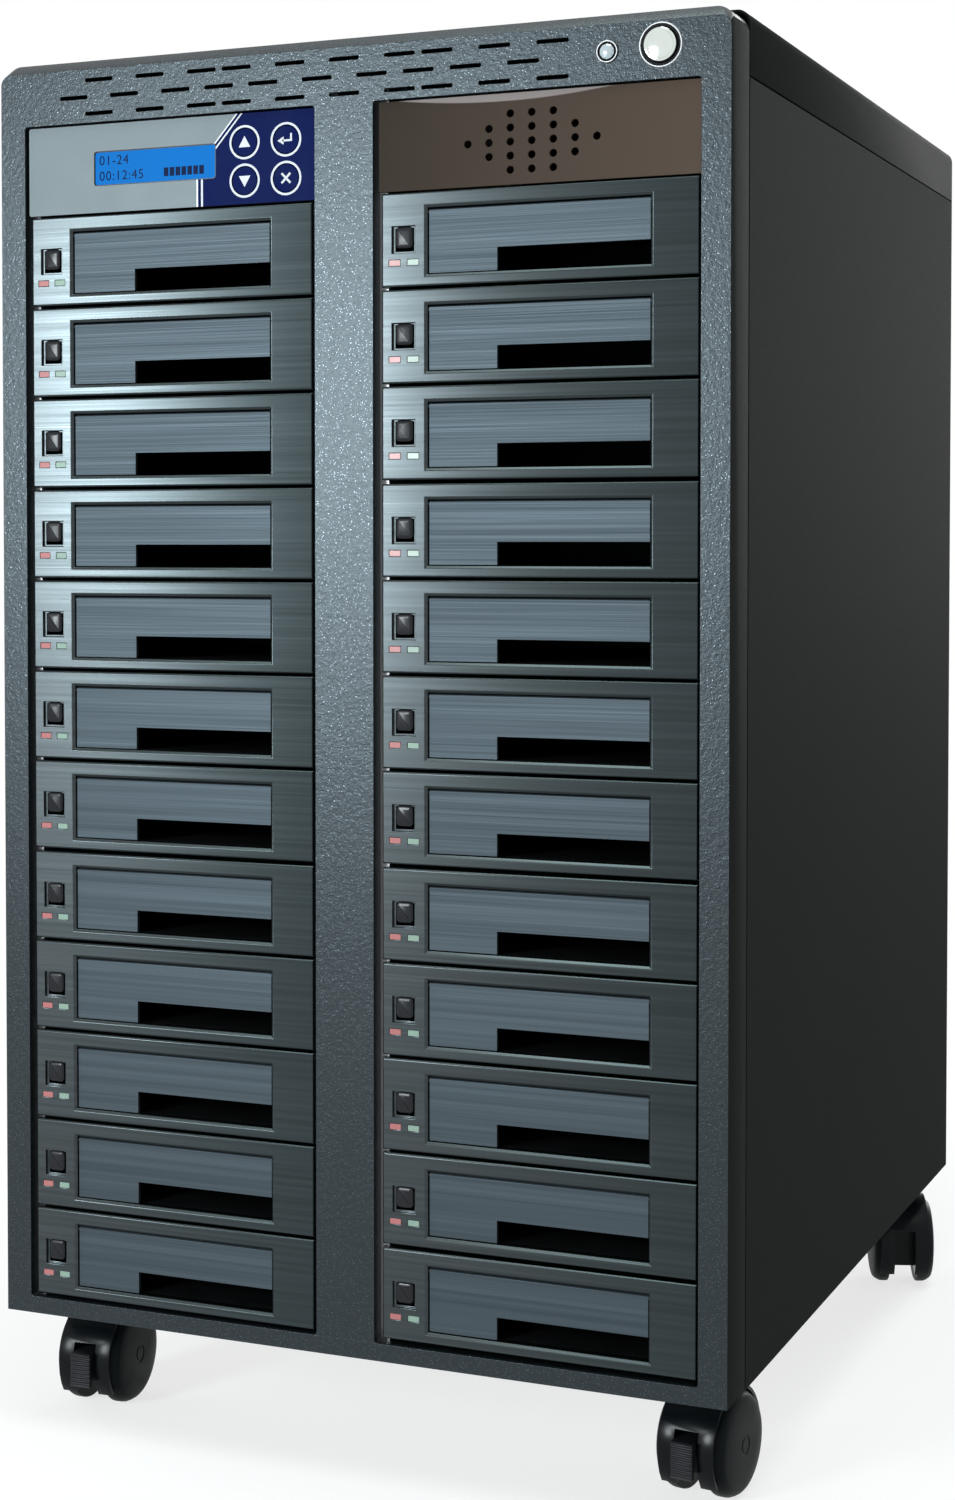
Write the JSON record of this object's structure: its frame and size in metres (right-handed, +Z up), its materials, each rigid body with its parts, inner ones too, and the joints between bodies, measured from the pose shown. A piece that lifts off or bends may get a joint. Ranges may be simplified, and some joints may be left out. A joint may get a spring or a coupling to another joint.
{
  "type": "drive duplicator",
  "caption": "Tower disk duplicator on casters, with two columns of trayless drive racks, a display panel with keys and a power button.",
  "frame": {"origin": "on the floor under the middle of the object's bounding box", "axes": "+Z up; the front with the racks faces -Y; +X to the right of someone facing the front"},
  "size_m": [0.3718, 0.4516, 0.655],
  "materials": {
    "black_powder_coat": "satin powder coat",
    "black_shell_paint": "matte powder coat",
    "zinc_plated_steel": "zinc plated",
    "gunmetal_bezel": "brushed and anodised gunmetal grey",
    "door_metal": "brushed and anodised grey",
    "rack_button_metal": "metallic grey",
    "rack_plastic": "black moulded",
    "lens_plastic": "clear and tinted moulded lens",
    "circuit_board": "solder mask",
    "panel_plastic": "printed overlay, silver and navy",
    "display_glass": "backlit blue display window",
    "key_plastic": "printed with a white ring",
    "bronze_sheet": "bronze metallic",
    "switch_plastic": "black moulded",
    "button_chrome": "polished",
    "black_plastic": "black moulded",
    "caster_plastic": "black moulded nylon",
    "caster_wheel": "black moulded nylon",
    "lever_plastic": "black moulded nylon"
  },
  "bodies": {
    "cabinet": {"front_frame": "black_powder_coat", "base_pan": "zinc_plated_steel", "top_cover": "black_shell_paint", "side_panel_left": "black_shell_paint", "side_panel_right": "black_shell_paint", "rear_panel": "black_shell_paint", "bay_rails": "zinc_plated_steel", "rack_bezels": "gunmetal_bezel", "rack_cages": "rack_plastic", "light_lenses": "lens_plastic", "circuit_boards": "circuit_board", "control_panel": "panel_plastic", "display_module": "display_glass", "blank_panel": "bronze_sheet", "power_switch_body": "switch_plastic", "power_supply": "zinc_plated_steel", "fan_frame": "black_plastic", "caster_plates": "zinc_plated_steel"},
    "rack_door_L01": {"rack_door_L01": "door_metal"},
    "rack_door_L02": {"rack_door_L02": "door_metal"},
    "rack_door_L03": {"rack_door_L03": "door_metal"},
    "rack_door_L04": {"rack_door_L04": "door_metal"},
    "rack_door_L05": {"rack_door_L05": "door_metal"},
    "rack_door_L06": {"rack_door_L06": "door_metal"},
    "rack_door_L07": {"rack_door_L07": "door_metal"},
    "rack_door_L08": {"rack_door_L08": "door_metal"},
    "rack_door_L09": {"rack_door_L09": "door_metal"},
    "rack_door_L10": {"rack_door_L10": "door_metal"},
    "rack_door_L11": {"rack_door_L11": "door_metal"},
    "rack_door_L12": {"rack_door_L12": "door_metal"},
    "rack_door_R01": {"rack_door_R01": "door_metal"},
    "rack_door_R02": {"rack_door_R02": "door_metal"},
    "rack_door_R03": {"rack_door_R03": "door_metal"},
    "rack_door_R04": {"rack_door_R04": "door_metal"},
    "rack_door_R05": {"rack_door_R05": "door_metal"},
    "rack_door_R06": {"rack_door_R06": "door_metal"},
    "rack_door_R07": {"rack_door_R07": "door_metal"},
    "rack_door_R08": {"rack_door_R08": "door_metal"},
    "rack_door_R09": {"rack_door_R09": "door_metal"},
    "rack_door_R10": {"rack_door_R10": "door_metal"},
    "rack_door_R11": {"rack_door_R11": "door_metal"},
    "rack_door_R12": {"rack_door_R12": "door_metal"},
    "rack_buttons_left": {"rack_buttons_left": "rack_button_metal"},
    "rack_buttons_right": {"rack_buttons_right": "rack_button_metal"},
    "key_up": {"key_up": "key_plastic"},
    "key_enter": {"key_enter": "key_plastic"},
    "key_down": {"key_down": "key_plastic"},
    "key_escape": {"key_escape": "key_plastic"},
    "power_button": {"power_button": "button_chrome"},
    "caster_housing_front_left": {"caster_housing_front_left": "caster_plastic"},
    "caster_wheels_front_left": {"caster_wheels_front_left": "caster_wheel"},
    "brake_lever_front_left": {"brake_lever_front_left": "lever_plastic"},
    "caster_housing_front_right": {"caster_housing_front_right": "caster_plastic"},
    "caster_wheels_front_right": {"caster_wheels_front_right": "caster_wheel"},
    "brake_lever_front_right": {"brake_lever_front_right": "lever_plastic"},
    "caster_housing_rear_left": {"caster_housing_rear_left": "caster_plastic"},
    "caster_wheels_rear_left": {"caster_wheels_rear_left": "caster_wheel"},
    "caster_housing_rear_right": {"caster_housing_rear_right": "caster_plastic"},
    "caster_wheels_rear_right": {"caster_wheels_rear_right": "caster_wheel"},
    "fan_rotor": {"fan_rotor": "black_plastic"}
  },
  "joints": [
    {"name": "rack_door_L01_hinge", "type": "hinge", "parent": "cabinet", "child": "rack_door_L01", "pos_m": [-0.09025, -0.2201, 0.57068], "axis": [1, 0, 0], "range_deg": [0, 90], "stiffness_Nm_per_rad": 0.02, "springref_deg": -17.19},
    {"name": "rack_door_L02_hinge", "type": "hinge", "parent": "cabinet", "child": "rack_door_L02", "pos_m": [-0.09025, -0.2201, 0.52784], "axis": [1, 0, 0], "range_deg": [0, 90], "stiffness_Nm_per_rad": 0.02, "springref_deg": -17.19},
    {"name": "rack_door_L03_hinge", "type": "hinge", "parent": "cabinet", "child": "rack_door_L03", "pos_m": [-0.09025, -0.2201, 0.485], "axis": [1, 0, 0], "range_deg": [0, 90], "stiffness_Nm_per_rad": 0.02, "springref_deg": -17.19},
    {"name": "rack_door_L04_hinge", "type": "hinge", "parent": "cabinet", "child": "rack_door_L04", "pos_m": [-0.09025, -0.2201, 0.44216], "axis": [1, 0, 0], "range_deg": [0, 90], "stiffness_Nm_per_rad": 0.02, "springref_deg": -17.19},
    {"name": "rack_door_L05_hinge", "type": "hinge", "parent": "cabinet", "child": "rack_door_L05", "pos_m": [-0.09025, -0.2201, 0.39932], "axis": [1, 0, 0], "range_deg": [0, 90], "stiffness_Nm_per_rad": 0.02, "springref_deg": -17.19},
    {"name": "rack_door_L06_hinge", "type": "hinge", "parent": "cabinet", "child": "rack_door_L06", "pos_m": [-0.09025, -0.2201, 0.35648], "axis": [1, 0, 0], "range_deg": [0, 90], "stiffness_Nm_per_rad": 0.02, "springref_deg": -17.19},
    {"name": "rack_door_L07_hinge", "type": "hinge", "parent": "cabinet", "child": "rack_door_L07", "pos_m": [-0.09025, -0.2201, 0.31364], "axis": [1, 0, 0], "range_deg": [0, 90], "stiffness_Nm_per_rad": 0.02, "springref_deg": -17.19},
    {"name": "rack_door_L08_hinge", "type": "hinge", "parent": "cabinet", "child": "rack_door_L08", "pos_m": [-0.09025, -0.2201, 0.27035], "axis": [1, 0, 0], "range_deg": [0, 90], "stiffness_Nm_per_rad": 0.02, "springref_deg": -17.19},
    {"name": "rack_door_L09_hinge", "type": "hinge", "parent": "cabinet", "child": "rack_door_L09", "pos_m": [-0.09025, -0.2201, 0.22751], "axis": [1, 0, 0], "range_deg": [0, 90], "stiffness_Nm_per_rad": 0.02, "springref_deg": -17.19},
    {"name": "rack_door_L10_hinge", "type": "hinge", "parent": "cabinet", "child": "rack_door_L10", "pos_m": [-0.09025, -0.2201, 0.18467], "axis": [1, 0, 0], "range_deg": [0, 90], "stiffness_Nm_per_rad": 0.02, "springref_deg": -17.19},
    {"name": "rack_door_L11_hinge", "type": "hinge", "parent": "cabinet", "child": "rack_door_L11", "pos_m": [-0.09025, -0.2201, 0.14183], "axis": [1, 0, 0], "range_deg": [0, 90], "stiffness_Nm_per_rad": 0.02, "springref_deg": -17.19},
    {"name": "rack_door_L12_hinge", "type": "hinge", "parent": "cabinet", "child": "rack_door_L12", "pos_m": [-0.09025, -0.2201, 0.09899], "axis": [1, 0, 0], "range_deg": [0, 90], "stiffness_Nm_per_rad": 0.02, "springref_deg": -17.19},
    {"name": "rack_door_R01_hinge", "type": "hinge", "parent": "cabinet", "child": "rack_door_R01", "pos_m": [0.09197, -0.2201, 0.57238], "axis": [1, 0, 0], "range_deg": [0, 90], "stiffness_Nm_per_rad": 0.02, "springref_deg": -17.19},
    {"name": "rack_door_R02_hinge", "type": "hinge", "parent": "cabinet", "child": "rack_door_R02", "pos_m": [0.09197, -0.2201, 0.52954], "axis": [1, 0, 0], "range_deg": [0, 90], "stiffness_Nm_per_rad": 0.02, "springref_deg": -17.19},
    {"name": "rack_door_R03_hinge", "type": "hinge", "parent": "cabinet", "child": "rack_door_R03", "pos_m": [0.09197, -0.2201, 0.4867], "axis": [1, 0, 0], "range_deg": [0, 90], "stiffness_Nm_per_rad": 0.02, "springref_deg": -17.19},
    {"name": "rack_door_R04_hinge", "type": "hinge", "parent": "cabinet", "child": "rack_door_R04", "pos_m": [0.09197, -0.2201, 0.44341], "axis": [1, 0, 0], "range_deg": [0, 90], "stiffness_Nm_per_rad": 0.02, "springref_deg": -17.19},
    {"name": "rack_door_R05_hinge", "type": "hinge", "parent": "cabinet", "child": "rack_door_R05", "pos_m": [0.09197, -0.2201, 0.40057], "axis": [1, 0, 0], "range_deg": [0, 90], "stiffness_Nm_per_rad": 0.02, "springref_deg": -17.19},
    {"name": "rack_door_R06_hinge", "type": "hinge", "parent": "cabinet", "child": "rack_door_R06", "pos_m": [0.09197, -0.2201, 0.35773], "axis": [1, 0, 0], "range_deg": [0, 90], "stiffness_Nm_per_rad": 0.02, "springref_deg": -17.19},
    {"name": "rack_door_R07_hinge", "type": "hinge", "parent": "cabinet", "child": "rack_door_R07", "pos_m": [0.09197, -0.2201, 0.31489], "axis": [1, 0, 0], "range_deg": [0, 90], "stiffness_Nm_per_rad": 0.02, "springref_deg": -17.19},
    {"name": "rack_door_R08_hinge", "type": "hinge", "parent": "cabinet", "child": "rack_door_R08", "pos_m": [0.09197, -0.2201, 0.2716], "axis": [1, 0, 0], "range_deg": [0, 90], "stiffness_Nm_per_rad": 0.02, "springref_deg": -17.19},
    {"name": "rack_door_R09_hinge", "type": "hinge", "parent": "cabinet", "child": "rack_door_R09", "pos_m": [0.09197, -0.2201, 0.22876], "axis": [1, 0, 0], "range_deg": [0, 90], "stiffness_Nm_per_rad": 0.02, "springref_deg": -17.19},
    {"name": "rack_door_R10_hinge", "type": "hinge", "parent": "cabinet", "child": "rack_door_R10", "pos_m": [0.09197, -0.2201, 0.18592], "axis": [1, 0, 0], "range_deg": [0, 90], "stiffness_Nm_per_rad": 0.02, "springref_deg": -17.19},
    {"name": "rack_door_R11_hinge", "type": "hinge", "parent": "cabinet", "child": "rack_door_R11", "pos_m": [0.09197, -0.2201, 0.14308], "axis": [1, 0, 0], "range_deg": [0, 90], "stiffness_Nm_per_rad": 0.02, "springref_deg": -17.19},
    {"name": "rack_door_R12_hinge", "type": "hinge", "parent": "cabinet", "child": "rack_door_R12", "pos_m": [0.09197, -0.2201, 0.09979], "axis": [1, 0, 0], "range_deg": [0, 90], "stiffness_Nm_per_rad": 0.02, "springref_deg": -17.19},
    {"name": "rack_buttons_left_push", "type": "slide", "parent": "cabinet", "child": "rack_buttons_left", "axis": [0, 1, 0], "range_m": [0, 0.0015], "stiffness_N_per_m": 400, "springref_m": -0.001},
    {"name": "rack_buttons_right_push", "type": "slide", "parent": "cabinet", "child": "rack_buttons_right", "axis": [0, 1, 0], "range_m": [0, 0.0015], "stiffness_N_per_m": 400, "springref_m": -0.001},
    {"name": "key_up_press", "type": "slide", "parent": "cabinet", "child": "key_up", "axis": [0, 1, 0], "range_m": [0, 0.0006], "stiffness_N_per_m": 800, "springref_m": -0.0005},
    {"name": "key_enter_press", "type": "slide", "parent": "cabinet", "child": "key_enter", "axis": [0, 1, 0], "range_m": [0, 0.0006], "stiffness_N_per_m": 800, "springref_m": -0.0005},
    {"name": "key_down_press", "type": "slide", "parent": "cabinet", "child": "key_down", "axis": [0, 1, 0], "range_m": [0, 0.0006], "stiffness_N_per_m": 800, "springref_m": -0.0005},
    {"name": "key_escape_press", "type": "slide", "parent": "cabinet", "child": "key_escape", "axis": [0, 1, 0], "range_m": [0, 0.0006], "stiffness_N_per_m": 800, "springref_m": -0.0005},
    {"name": "power_button_press", "type": "slide", "parent": "cabinet", "child": "power_button", "axis": [0, 1, 0], "range_m": [0, 0.002], "stiffness_N_per_m": 400, "springref_m": -0.002},
    {"name": "caster_swivel_front_left", "type": "hinge", "parent": "cabinet", "child": "caster_housing_front_left", "pos_m": [-0.1578, -0.1542, 0.0557], "axis": [0, 0, 1], "continuous": true},
    {"name": "caster_spin_front_left", "type": "hinge", "parent": "caster_housing_front_left", "child": "caster_wheels_front_left", "pos_m": [-0.15685, -0.17017, 0.0236], "axis": [0.9982, 0.0593, 0], "continuous": true},
    {"name": "brake_lever_front_left_pivot", "type": "hinge", "parent": "caster_housing_front_left", "child": "brake_lever_front_left", "pos_m": [-0.15584, -0.18714, 0.0276], "axis": [0.9982, 0.0593, 0], "range_deg": [0, 10]},
    {"name": "caster_swivel_front_right", "type": "hinge", "parent": "cabinet", "child": "caster_housing_front_right", "pos_m": [0.1578, -0.1542, 0.0557], "axis": [0, 0, 1], "continuous": true},
    {"name": "caster_spin_front_right", "type": "hinge", "parent": "caster_housing_front_right", "child": "caster_wheels_front_right", "pos_m": [0.1556, -0.17005, 0.0236], "axis": [0.9905, -0.1374, 0], "continuous": true},
    {"name": "brake_lever_front_right_pivot", "type": "hinge", "parent": "caster_housing_front_right", "child": "brake_lever_front_right", "pos_m": [0.15326, -0.18689, 0.0276], "axis": [0.9905, -0.1374, 0], "range_deg": [0, 10]},
    {"name": "caster_swivel_rear_left", "type": "hinge", "parent": "cabinet", "child": "caster_housing_rear_left", "pos_m": [-0.1578, 0.1928, 0.0557], "axis": [0, 0, 1], "continuous": true},
    {"name": "caster_spin_rear_left", "type": "hinge", "parent": "caster_housing_rear_left", "child": "caster_wheels_rear_left", "pos_m": [-0.16327, 0.17776, 0.0236], "axis": [0.9397, -0.342, 0], "continuous": true},
    {"name": "caster_swivel_rear_right", "type": "hinge", "parent": "cabinet", "child": "caster_housing_rear_right", "pos_m": [0.1578, 0.1928, 0.0557], "axis": [0, 0, 1], "continuous": true},
    {"name": "caster_spin_rear_right", "type": "hinge", "parent": "caster_housing_rear_right", "child": "caster_wheels_rear_right", "pos_m": [0.16327, 0.17776, 0.0236], "axis": [0.9397, 0.342, 0], "continuous": true},
    {"name": "fan_spin", "type": "hinge", "parent": "cabinet", "child": "fan_rotor", "pos_m": [0, 0.2121, 0.47], "axis": [0, 1, 0], "continuous": true}
  ]
}
